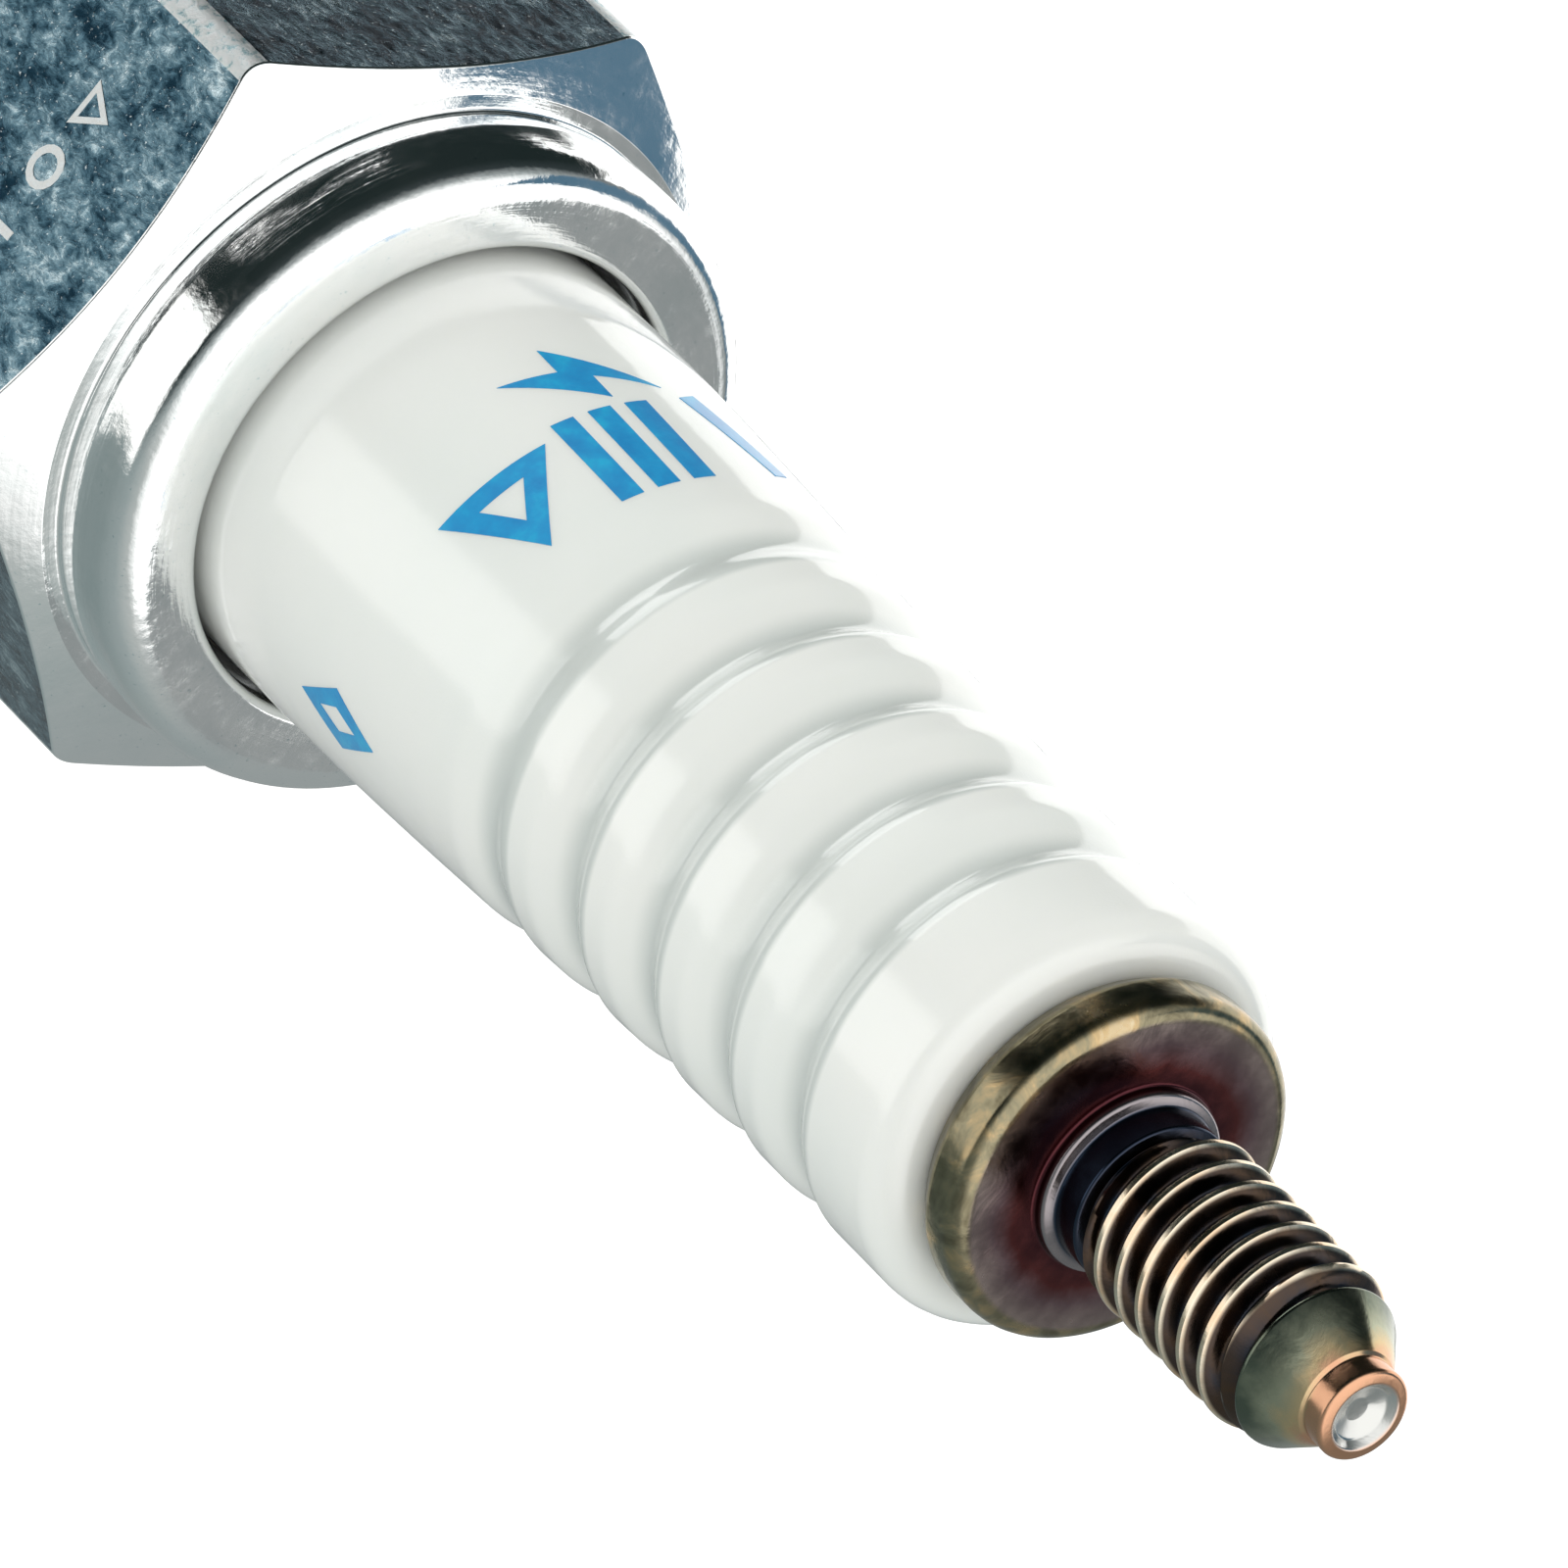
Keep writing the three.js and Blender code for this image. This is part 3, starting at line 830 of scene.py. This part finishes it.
def print_shapes():
    """Generic signs, each a list of outlines round its own centre."""
    triangle = band(polygon(3, 1.5, 0.0, 1.05), polygon(3, 0.62, 0.0, 1.05))
    diamond = band(polygon(4, 1.25, 0.0, 0.62), polygon(4, 0.62, 0.0, 0.5))
    bars = [turned_outline(BAR, 0.0, (offset, 0.0)) for offset in (-0.85, 0.0, 0.85)]
    return {"bolt": [BOLT], "triangle": triangle, "diamond": diamond, "bars": bars, "bar": [BAR]}


def build_print():
    """Blue signs fired on the neck, in two rows."""
    # Sign, side of the neck in degrees from +X, height, and turn in degrees
    rows = [
        ("bolt", 219, 20.1, 90),
        ("triangle", 252, 22.4, 0),
        ("bars", 221, 22.6, 0),
        ("bar", 191, 22.3, 20),
        ("diamond", 322, 20.9, 0),
    ]
    shapes = print_shapes()
    ink = blue_ink()
    for number, (sign, side, height, turn) in enumerate(rows, 1):
        outlines = [turned_outline(outline, math.radians(turn)) for outline in shapes[sign]]

        def on_neck(u, v, offset, side=side, height=height):
            radius = glazed_radius(height + v) + offset
            angle = math.radians(side) + u / NECK_RADIUS
            return radius * math.cos(angle), radius * math.sin(angle), height + v

        piece = marks(f"printed_{sign}_{number}", [outlines], on_neck, 0.04, 0.012, [ink])
        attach(piece, "plug")


def build_stamps():
    """Small signs stamped in the front flat, painted bright as a highlight."""
    signs = [
        ("triangle", -1.75, band(polygon(3, 0.62), polygon(3, 0.34))),
        ("ring", -0.3, band(polygon(16, 0.48), polygon(16, 0.3))),
        ("dash", 1.15, [[(-0.1, -0.45), (0.1, -0.45), (0.1, 0.45), (-0.1, 0.45)]]),
    ]
    # The stamps' material paints a highlight on them.
    stamp_glint = stamp_highlight()
    for name, across, outlines in signs:

        def on_flat(u, v, offset, across=across):
            return across + u, -HALF_FLATS - offset, 10.2 + v

        piece = marks(f"stamped_{name}", [outlines], on_flat, 0.05, 0.015, [stamp_glint], cell=0.4)
        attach(piece, "plug")


# ---- Terminal ----


def build_terminal():
    low = INSULATOR_TOP + SLIP
    pip_low = TERMINAL_TIP - 0.65
    lower = [
        (0, SHANK_END),
        (SHANK_RADIUS, SHANK_END, 0.3),
        (SHANK_RADIUS, low, 0.05),
        (FLANGE_RADIUS - 0.25, low, 0.1),
        (FLANGE_RADIUS, low + 0.4, 0.3),
        (FLANGE_RADIUS, FLANGE_TOP, 0.38),
        (SHOULDER_RADIUS, FLANGE_TOP, 0.08),
        (SHOULDER_RADIUS, FLANGE_TOP + 0.27, 0.1),
        (UNDERCUT_RADIUS, FLANGE_TOP + 0.34, 0.08),
        (UNDERCUT_RADIUS, STUD_THREAD["low"] - 0.12, 0.08),
        (STUD_THREAD["root"], STUD_THREAD["low"] - 0.02, 0.05),
    ]
    upper = [
        (STUD_THREAD["root"] + 0.3, CONE_LOW + 0.05, 0.12),
        (PIP_RADIUS + 0.08, pip_low, 0.08),
        (PIP_RADIUS, pip_low + 0.06, 0.05),
        (PIP_RADIUS + 0.02, TERMINAL_TIP - 0.05, 0.12),
        (PIP_RADIUS - 0.25, TERMINAL_TIP, 0.08),
        (PIP_RADIUS - 0.4, TERMINAL_TIP - 0.18, 0.15),
        (0.25, TERMINAL_TIP - 0.3, 0.1),
        (0, TERMINAL_TIP - 0.32),
    ]

    def section(angle):
        thread = thread_rows(angle, **STUD_THREAD, steps=14)
        return rounded([*lower, *thread, *upper], closed=False, steps=6)

    terminal = swept("terminal_screw", section, even_angles(144), False, [heat_tinted()])
    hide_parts("terminal_stud")
    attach(terminal, "plug")


# ---- Gasket ----


def build_gasket():
    bend = (GASKET_TOP - GASKET_LOW + GASKET_SHEET) / 4
    tight = bend - GASKET_SHEET
    outer, low, top = GASKET_RADIUS, GASKET_LOW, GASKET_TOP
    free_edge = outer - bend + 0.2
    corners = [
        (GASKET_SEAL, low, 0.05),
        (outer, low, bend),
        (outer, low + 2 * bend, bend),
        (GASKET_INNER + GASKET_SHEET, low + 2 * bend, tight),
        (GASKET_INNER + GASKET_SHEET, top - GASKET_SHEET, tight),
        (free_edge, top - GASKET_SHEET, 0.05),
        (free_edge, top, 0.05),
        (GASKET_INNER, top, bend),
        (GASKET_INNER, top - 2 * bend, bend),
        (outer - GASKET_SHEET, low + 2 * tight + GASKET_SHEET, tight),
        (outer - GASKET_SHEET, low + GASKET_SHEET, tight),
        (GASKET_SEAL, low + GASKET_SHEET, 0.05),
    ]
    gasket = turned("crush_gasket", corners, [plated_gasket()], columns=160, steps=8)
    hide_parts("gasket")
    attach(gasket, "gasket")


# ---- Pieces inside, and the firing end ----


def build_inner_pieces():
    """Round pieces inside the shell and the insulator, with true curves in place of facets."""
    steel = metal("packing_steel", (0.36, 0.37, 0.38), (0.58, 0.59, 0.6), 0.3, 0.5)
    seal = metal("conductive_glass", (0.16, 0.1, 0.07), (0.4, 0.28, 0.2), 0.35, 0.6, 6.0, 0.01)
    copper = metal("copper", (0.52, 0.24, 0.13), (0.78, 0.42, 0.27), 0.25, 0.4)
    talc = powder("talc", (0.62, 0.62, 0.57), (0.84, 0.84, 0.79), 6.0, 0.03)
    carbon = powder("resistor_glass", (0.02, 0.02, 0.02), (0.06, 0.06, 0.062), 8.0, 0.02)

    for node in ("upper_packing_ring", "lower_packing_ring"):
        outer, low, high = extent(node)
        wire = (high - low) / 2
        centre = outer - wire
        inner = centre - wire
        ring = [(inner, low, wire), (outer, low, wire), (outer, high, wire), (inner, high, wire)]
        finish_round(turned(node + "_wire", ring, [steel], steps=6), node)

    outer, low, high = extent("talc_filling")
    inner = NECK_RADIUS + SLIP
    corners = [(inner, low, 0.12), (outer, low, 0.12), (outer, high, 0.12), (inner, high, 0.12)]
    finish_round(turned("talc_pressed", corners, [talc]), "talc_filling")

    outer, low, high = extent("seat_packing")
    inner = LEDGE_RADIUS + 0.05
    rise = outer - inner
    corners = [
        (inner, low, 0.05),
        (outer, low + rise, 0.05),
        (outer, high, 0.05),
        (inner, high - rise, 0.05),
    ]
    finish_round(turned("seat_packing_cone", corners, [steel]), "seat_packing")

    columns = {
        "upper_glass_seal": (seal, "conductive_glass"),
        "resistor": (carbon, "resistor_glass"),
        "lower_glass_seal": (seal, "conductive_glass"),
    }
    for node, (material, slot) in columns.items():
        outer, low, high = extent(node)
        corners = [(0, low), (outer, low, 0.08), (outer, high, 0.08), (0, high)]
        finish_round(turned(node + "_fill", corners, [material], closed=False), node)

    outer, low, high = extent("copper_core")
    corners = [(0, low), (outer, low + 0.45, 0.2), (outer, high, 0.05), (0, high)]
    finish_round(turned("copper_core_rod", corners, [copper], closed=False), "copper_core")


def finish_round(piece, node):
    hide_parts(node)
    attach(piece, "plug")


def wobble(angle, size):
    """A small uneven swell round the axis, as on a weld bead."""
    waves = [(1.0, 5, 0.0), (0.6, 11, 1.0), (0.4, 17, 2.0)]
    return size * sum(share * math.sin(count * angle + shift) for share, count, shift in waves)


def build_centre(nickel, noble):
    core_low = extent("copper_core")[1]
    seat = BORE_STEP + SLIP
    head = ELECTRODE_HEAD
    sheath = [
        (0, ELECTRODE_END),
        (0.42, ELECTRODE_END, 0.06),
        (ELECTRODE_RADIUS, ELECTRODE_END + 0.9, 0.25),
        (ELECTRODE_RADIUS, seat - 0.4, 0.1),
        (head, seat, 0.1),
        (head, ELECTRODE_TOP, 0.12),
        (COPPER_RADIUS, ELECTRODE_TOP, 0.05),
        (COPPER_RADIUS, core_low + 0.4, 0.2),
        (0, core_low - SLIP),
    ]
    cover = turned("centre_sheath", sheath, [nickel], closed=False, steps=6)
    finish_round(cover, "centre_electrode")
    radius, low, high = extent("centre_tip")
    tip = [(0, low), (radius, low, 0.04), (radius, high, 0.02), (0, high)]
    rod = turned("centre_tip_rod", tip, [noble], closed=False, columns=64)
    finish_round(rod, "centre_tip")

    def bead(angle):
        swell = wobble(angle, 0.006)
        corners = [
            (radius - 0.05, high - 0.2, 0.03),
            (radius + 0.02, high - 0.22, 0.03),
            (radius + 0.11 + swell, high - 0.07, 0.09),
            (radius + 0.13 + swell, high + 0.06, 0.05),
            (radius - 0.05, high + 0.06, 0.03),
        ]
        return rounded(corners, True, 5)

    weld = swept("centre_tip_weld", bead, even_angles(96), True, [nickel])
    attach(weld, "plug")


def strap_path():
    """Centre line of the ground strap as (x, z, direction), from its foot to its free end."""
    low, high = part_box("ground_electrode")
    leg = high.x / MM - STRAP_THICKNESS / 2
    base = low.z / MM + STRAP_THICKNESS / 2
    bend = STRAP_BEND + STRAP_THICKNESS / 2
    path = [(leg, height, -90.0) for height in np.linspace(SHELL_END, base + bend, 8)]
    for i in range(1, 17):
        angle = math.radians(90 * i / 16)
        x = leg - bend + bend * math.cos(angle)
        z = base + bend - bend * math.sin(angle)
        path.append((x, z, -90.0 - math.degrees(angle)))
    path += [(x, base, -180.0) for x in np.linspace(leg - bend, low.x / MM, 14)[1:]]
    return path


def build_ground(nickel, noble):
    width = (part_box("ground_electrode")[1].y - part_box("ground_electrode")[0].y) / MM
    half_width, half_thickness, fillet = width / 2, STRAP_THICKNESS / 2, 0.22
    corners = [
        (-half_width, -half_thickness, fillet),
        (half_width, -half_thickness, fillet),
        (half_width, half_thickness, fillet),
        (-half_width, half_thickness, fillet),
    ]
    section = rounded(corners, True, 5)
    path = strap_path()
    trim = 0.06
    stations = [(*station, 0.0) for station in path[:-1]]
    end_x, end_z, end_turn = path[-1]
    stations += [(end_x + trim, end_z, end_turn, 0.0), (end_x + 0.3 * trim, end_z, end_turn, 0.4 * trim)]
    stations += [(end_x, end_z, end_turn, trim)]
    vertices = []
    for x, z, turn, inset in stations:
        side = math.radians(turn + 90)
        for across, out in section:
            out_from_centre = (1 - inset / half_thickness) * out
            vertices.append(
                (
                    x + out_from_centre * math.cos(side),
                    across * (1 - inset / half_width),
                    z + out_from_centre * math.sin(side),
                )
            )
    count = len(section)
    faces = []
    for i in range(len(stations) - 1):
        here, there = i * count, (i + 1) * count
        for j in range(count):
            k = (j + 1) % count
            faces.append((here + j, here + k, there + k, there + j))
    faces.append(tuple(reversed(range(count))))
    faces.append(tuple(range((len(stations) - 1) * count, len(stations) * count)))
    strap = mesh_object("ground_strap", vertices, faces, None, [nickel])
    finish_round(strap, "ground_electrode")

    low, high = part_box("ground_tip")
    radius = high.y / MM
    foot = low.z / MM
    face = high.z / MM
    tip = [(0, foot), (radius, foot, 0.02), (radius, face, 0.05), (0, face)]
    pad = turned("ground_tip_pad", tip, [noble], closed=False, columns=64)
    finish_round(pad, "ground_tip")

    def bead(angle):
        swell = wobble(angle, 0.008)
        corners = [
            (radius - 0.04, foot - 0.06, 0.02),
            (radius + 0.16 + swell, foot - 0.06, 0.02),
            (radius + 0.12 + swell, foot + 0.06, 0.06),
            (radius + 0.02, foot + 0.12, 0.03),
            (radius - 0.04, foot + 0.1, 0.02),
        ]
        return rounded(corners, True, 5)

    weld = swept("ground_tip_weld", bead, even_angles(96), True, [nickel])
    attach(weld, "plug")


def build_foot_weld(nickel):
    """The resistance weld's flash, squeezed out round the strap's foot on the shell's end face."""
    width = (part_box("ground_electrode")[1].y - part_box("ground_electrode")[0].y) / MM
    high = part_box("ground_electrode")[1]
    centre = high.x / MM - STRAP_THICKNESS / 2
    half_width = width / 2 + 0.08
    half_thickness = STRAP_THICKNESS / 2 - 0.1
    columns = 96
    section = [(-0.12, 0.05), (0.05, 0.05), (0.1, -0.04), (0.06, -0.16), (-0.02, -0.24), (-0.12, -0.26)]
    vertices = []
    for i in range(columns):
        angle = TURN * i / columns
        c, s = math.cos(angle), math.sin(angle)
        stretch = (abs(c) ** 6 + abs(s) ** 6) ** (-1 / 6)
        swell = 1 + wobble(angle, 0.12)
        for out, rise in section:
            reach = out * (swell if out > 0 else 1)
            vertices.append(
                (
                    centre + (half_thickness + reach) * c * stretch,
                    (half_width + reach) * s * stretch,
                    SHELL_END + rise * swell,
                )
            )
    count = len(section)
    faces = []
    for i in range(columns):
        here, there = i * count, (i + 1) % columns * count
        for j in range(count):
            k = (j + 1) % count
            faces.append((here + j, there + j, there + k, here + k))
    weld = mesh_object("ground_foot_weld", vertices, faces, None, [nickel], sharp=60)
    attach(weld, "plug")


# ---- Studio ----

CAMERA_AZIMUTH = -8.82
CAMERA_ELEVATION = 41.51
CAMERA_ROLL = 134.9
CAMERA_DISTANCE = 374.4
CAMERA_TARGET = (-0.7, 0.1, 28.0)
CAMERA_LENS = 450.0

# The key light's distance, size and power are in metres and watts.
KEY_AZIMUTH = -25
KEY_ELEVATION = 62
KEY_DISTANCE = 0.6
KEY_SIZE = 0.35
KEY_POWER = 0.34


def direction(azimuth, elevation):
    """Unit vector from the plug. Azimuth 0 is -Y and 90 is +X, as the factory's views count it."""
    a, e = math.radians(azimuth), math.radians(elevation)
    return Vector((math.sin(a) * math.cos(e), -math.cos(a) * math.cos(e), math.sin(e)))


def build_camera():
    camera = bpy.data.objects.new("camera", bpy.data.cameras.new("camera"))
    back = direction(CAMERA_AZIMUTH, CAMERA_ELEVATION)
    upright = (-back).to_track_quat("-Z", "Y").to_matrix().to_4x4()
    rolled = upright @ Matrix.Rotation(math.radians(CAMERA_ROLL), 4, "Z")
    place = (Vector(CAMERA_TARGET) + back * CAMERA_DISTANCE) * MM
    camera.matrix_world = Matrix.Translation(place) @ rolled
    camera.data.lens = CAMERA_LENS
    camera.data.sensor_width = 36.0
    camera.data.clip_start = 0.01
    camera.data.clip_end = 50.0
    bpy.context.scene.collection.objects.link(camera)
    bpy.context.scene.camera = camera


def build_floor():
    level = cad_bounds[0].z
    mesh = bpy.data.meshes.new("floor")
    reach = 6.0
    corners = [(x * reach, y * reach, level) for x, y in ((-1, -1), (1, -1), (1, 1), (-1, 1))]
    mesh.from_pydata(corners, [], [(0, 1, 2, 3)])
    floor = bpy.data.objects.new("floor", mesh)
    bpy.context.scene.collection.objects.link(floor)
    s = Surface("floor_paper", Roughness=0.9, Emission_Strength=0.35)
    s.set("Emission Color", (1.0, 1.0, 1.0))
    s.set("Base Color", (0.86, 0.86, 0.86))
    mesh.materials.append(s.material)
    floor.visible_glossy = False


class Sky(Surface):
    """The world's shader: what the plating mirrors, by azimuth and elevation in degrees."""

    def __init__(self):
        world = bpy.data.worlds.new("studio")
        bpy.context.scene.world = world
        world.use_nodes = True
        self.tree = world.node_tree
        self.shader = self.tree.nodes["Background"]
        x, y, z = self.axes(self.node("ShaderNodeTexCoord").outputs["Generated"])
        self.azimuth = self.math("DEGREES", self.math("ARCTAN2", x, self.math("MULTIPLY", y, -1.0)))
        self.elevation = self.math("DEGREES", self.math("ARCSINE", z))

    def window(self, left, right, low, high, soft=4.0):
        """1 inside a patch of the sky, falling to 0 over soft degrees at its edges."""
        sides = [
            self.range(self.azimuth, left - soft, left),
            self.range(self.azimuth, right + soft, right),
            self.range(self.elevation, low - soft, low),
            self.range(self.elevation, high + soft, high),
        ]
        product = sides[0]
        for side in sides[1:]:
            product = self.math("MULTIPLY", product, side)
        return product


def build_world():
    """White overhead, dark in front and to the left, grey to the right, with low soft boxes."""
    s = Sky()
    front = s.ramp(
        s.range(s.elevation, -10, 48, smooth=False),
        (0.0, (0.014, 0.022, 0.022)),
        (0.35, (0.03, 0.04, 0.042)),
        (0.62, (0.35, 0.38, 0.38)),
        (0.9, (1.45, 1.45, 1.44)),
    )
    side = s.ramp(
        s.range(s.elevation, -50, 62, smooth=False),
        (0.0, (0.2, 0.25, 0.25)),
        (0.55, (0.3, 0.35, 0.35)),
        (0.8, (0.45, 0.48, 0.47)),
        (0.95, (1.3, 1.3, 1.28)),
    )
    sky = s.mix(s.range(s.azimuth, 12, 50), front, side)
    sky = s.mix(s.range(s.azimuth, 105, 150), sky, (0.3, 0.33, 0.33))
    behind = s.math("MAXIMUM", s.range(s.azimuth, 100, 110), s.range(s.azimuth, -138, -146))
    sky = s.mix(s.math("MULTIPLY", behind, s.range(s.elevation, 46, 52)), sky, (1.4, 1.4, 1.38))

    # A grey patch at the back, seen in the collar's lip. It lies on both sides of azimuth 180.
    for left, right in ((150, 190), (-190, -168)):
        sky = s.mix(s.window(left, right, 38, 47, 5), sky, (0.27, 0.29, 0.29))

    # A blue-grey panel at the back left, whose lower edge climbs to the right
    edge = s.math("MULTIPLY_ADD", s.azimuth, 0.56, 88.4)
    above = s.math("SUBTRACT", s.elevation, edge)
    panel = s.math("MULTIPLY", s.range(above, -2, 2), s.range(above, 28, 22))
    panel = s.math("MULTIPLY", panel, s.window(-178, -112, -10, 48, 4))
    sky = s.mix(panel, sky, (0.09, 0.175, 0.25))

    # Soft boxes: back left, front right, and a low one in front that lights the hexagon's corners
    sky = s.mix(s.window(-190, -124, -60, 10, 4), sky, (1.5, 1.5, 1.48))
    sky = s.mix(s.window(6, 42, -50, -4, 8), sky, (1.3, 1.3, 1.27))
    sky = s.mix(s.window(-72, -20, -70, -47, 3), sky, (2.4, 2.4, 2.38))
    mirrored = s.mix(s.range(s.elevation, 54, 64), sky, (1.5, 1.5, 1.48))

    # Matt surfaces are lit by a plain gradient, and the backdrop is white
    plain = s.mix(s.range(s.elevation, -55, 65), (0.44, 0.47, 0.455), (1.0, 1.0, 0.98))
    rays = s.node("ShaderNodeLightPath")
    lit = s.mix(rays.outputs["Is Glossy Ray"], plain, mirrored)
    s.feed(s.shader.inputs["Color"], s.mix(rays.outputs["Is Camera Ray"], lit, (1.0, 1.0, 1.0)))


def build_lights():
    """One large soft key, high in front of the plug, unseen in reflections."""
    data = bpy.data.lights.new("key", "AREA")
    data.energy = KEY_POWER
    data.size = KEY_SIZE
    key = bpy.data.objects.new("key", data)
    towards = direction(KEY_AZIMUTH, KEY_ELEVATION)
    facing = towards.to_track_quat("Z", "Y").to_matrix().to_4x4()
    key.matrix_world = Matrix.Translation(towards * KEY_DISTANCE) @ facing
    key.visible_glossy = False
    key.visible_camera = False
    bpy.context.scene.collection.objects.link(key)


build_camera()
build_shell()
build_insulator()
build_print()
build_stamps()
build_terminal()
build_gasket()
build_inner_pieces()
nickel_alloy = metal("nickel_alloy", (0.4, 0.38, 0.35), (0.62, 0.6, 0.56), 0.24, 0.42)
noble_metal = metal("noble_metal", (0.66, 0.67, 0.69), (0.86, 0.87, 0.88), 0.18, 0.32, 4.0, 0.003)
build_centre(nickel_alloy, noble_metal)
build_ground(nickel_alloy, noble_metal)
build_foot_weld(nickel_alloy)
build_floor()
build_world()
build_lights()
bpy.context.scene.view_settings.view_transform = "Standard"
